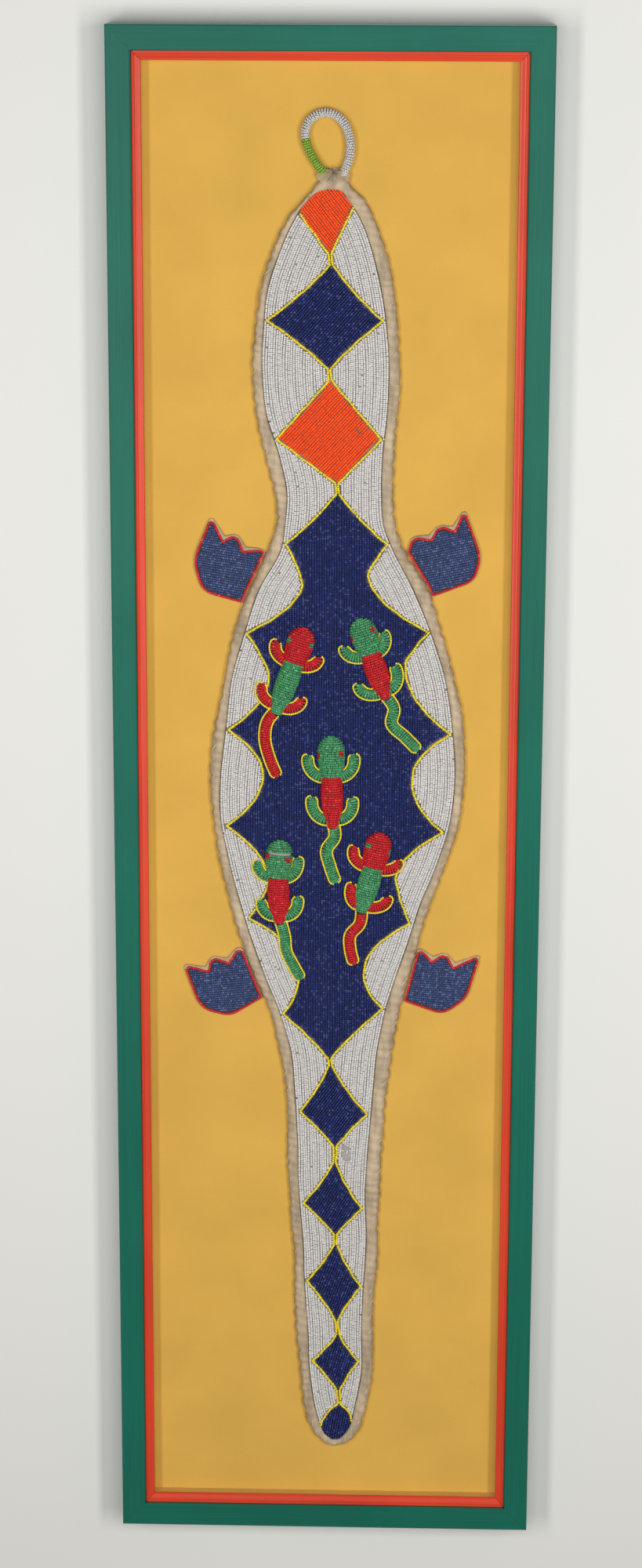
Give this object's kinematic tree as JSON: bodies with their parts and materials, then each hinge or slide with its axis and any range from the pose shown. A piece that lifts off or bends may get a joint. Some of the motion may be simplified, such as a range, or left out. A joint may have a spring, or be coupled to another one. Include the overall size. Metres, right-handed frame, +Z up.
{
  "type": "framed beaded wall hanging with its frame",
  "caption": "Tall narrow painted frame with a cloth-covered recess that shows a long beaded crocodile with small raised lizards, flat feet and a hanging loop.",
  "frame": {"origin": "middle of the top rail's flat back face, which lies on the wall", "axes": "+X to the viewer's right, +Y into the wall, +Z up"},
  "size_m": [0.37, 0.034, 1.345],
  "materials": {
    "painted_green_wood": "satin paint",
    "painted_red_wood": "satin paint",
    "yellow_cloth": "plain woven cotton",
    "beige_hide": "soft, undyed",
    "white_thread": "twisted cotton thread",
    "white_beads": "opaque, glossy",
    "navy_beads": "opaque, glossy",
    "orange_beads": "opaque, glossy",
    "yellow_beads": "opaque, glossy",
    "red_beads": "opaque, glossy",
    "green_beads": "opaque, glossy",
    "lime_beads": "opaque, glossy"
  },
  "bodies": {
    "root": {"frame_rail_top": "painted_green_wood", "frame_rail_right": "painted_green_wood", "frame_rail_bottom": "painted_green_wood", "frame_rail_left": "painted_green_wood", "slip_top": "painted_red_wood", "slip_right": "painted_red_wood", "slip_bottom": "painted_red_wood", "slip_left": "painted_red_wood", "side_wall_top": "yellow_cloth", "side_wall_right": "yellow_cloth", "side_wall_bottom": "yellow_cloth", "side_wall_left": "yellow_cloth", "backing_board": "yellow_cloth", "bead_panel": "white_beads", "edge_binding": "beige_hide", "hanging_loop": "white_beads", "foot_front_left": "navy_beads", "foot_front_right": "navy_beads", "foot_rear_left": "navy_beads", "foot_rear_right": "navy_beads", "lizard_upper_left": "red_beads", "lizard_upper_right": "green_beads", "lizard_centre": "green_beads", "lizard_lower_left": "green_beads", "lizard_lower_right": "red_beads"}
  },
  "joints": []
}
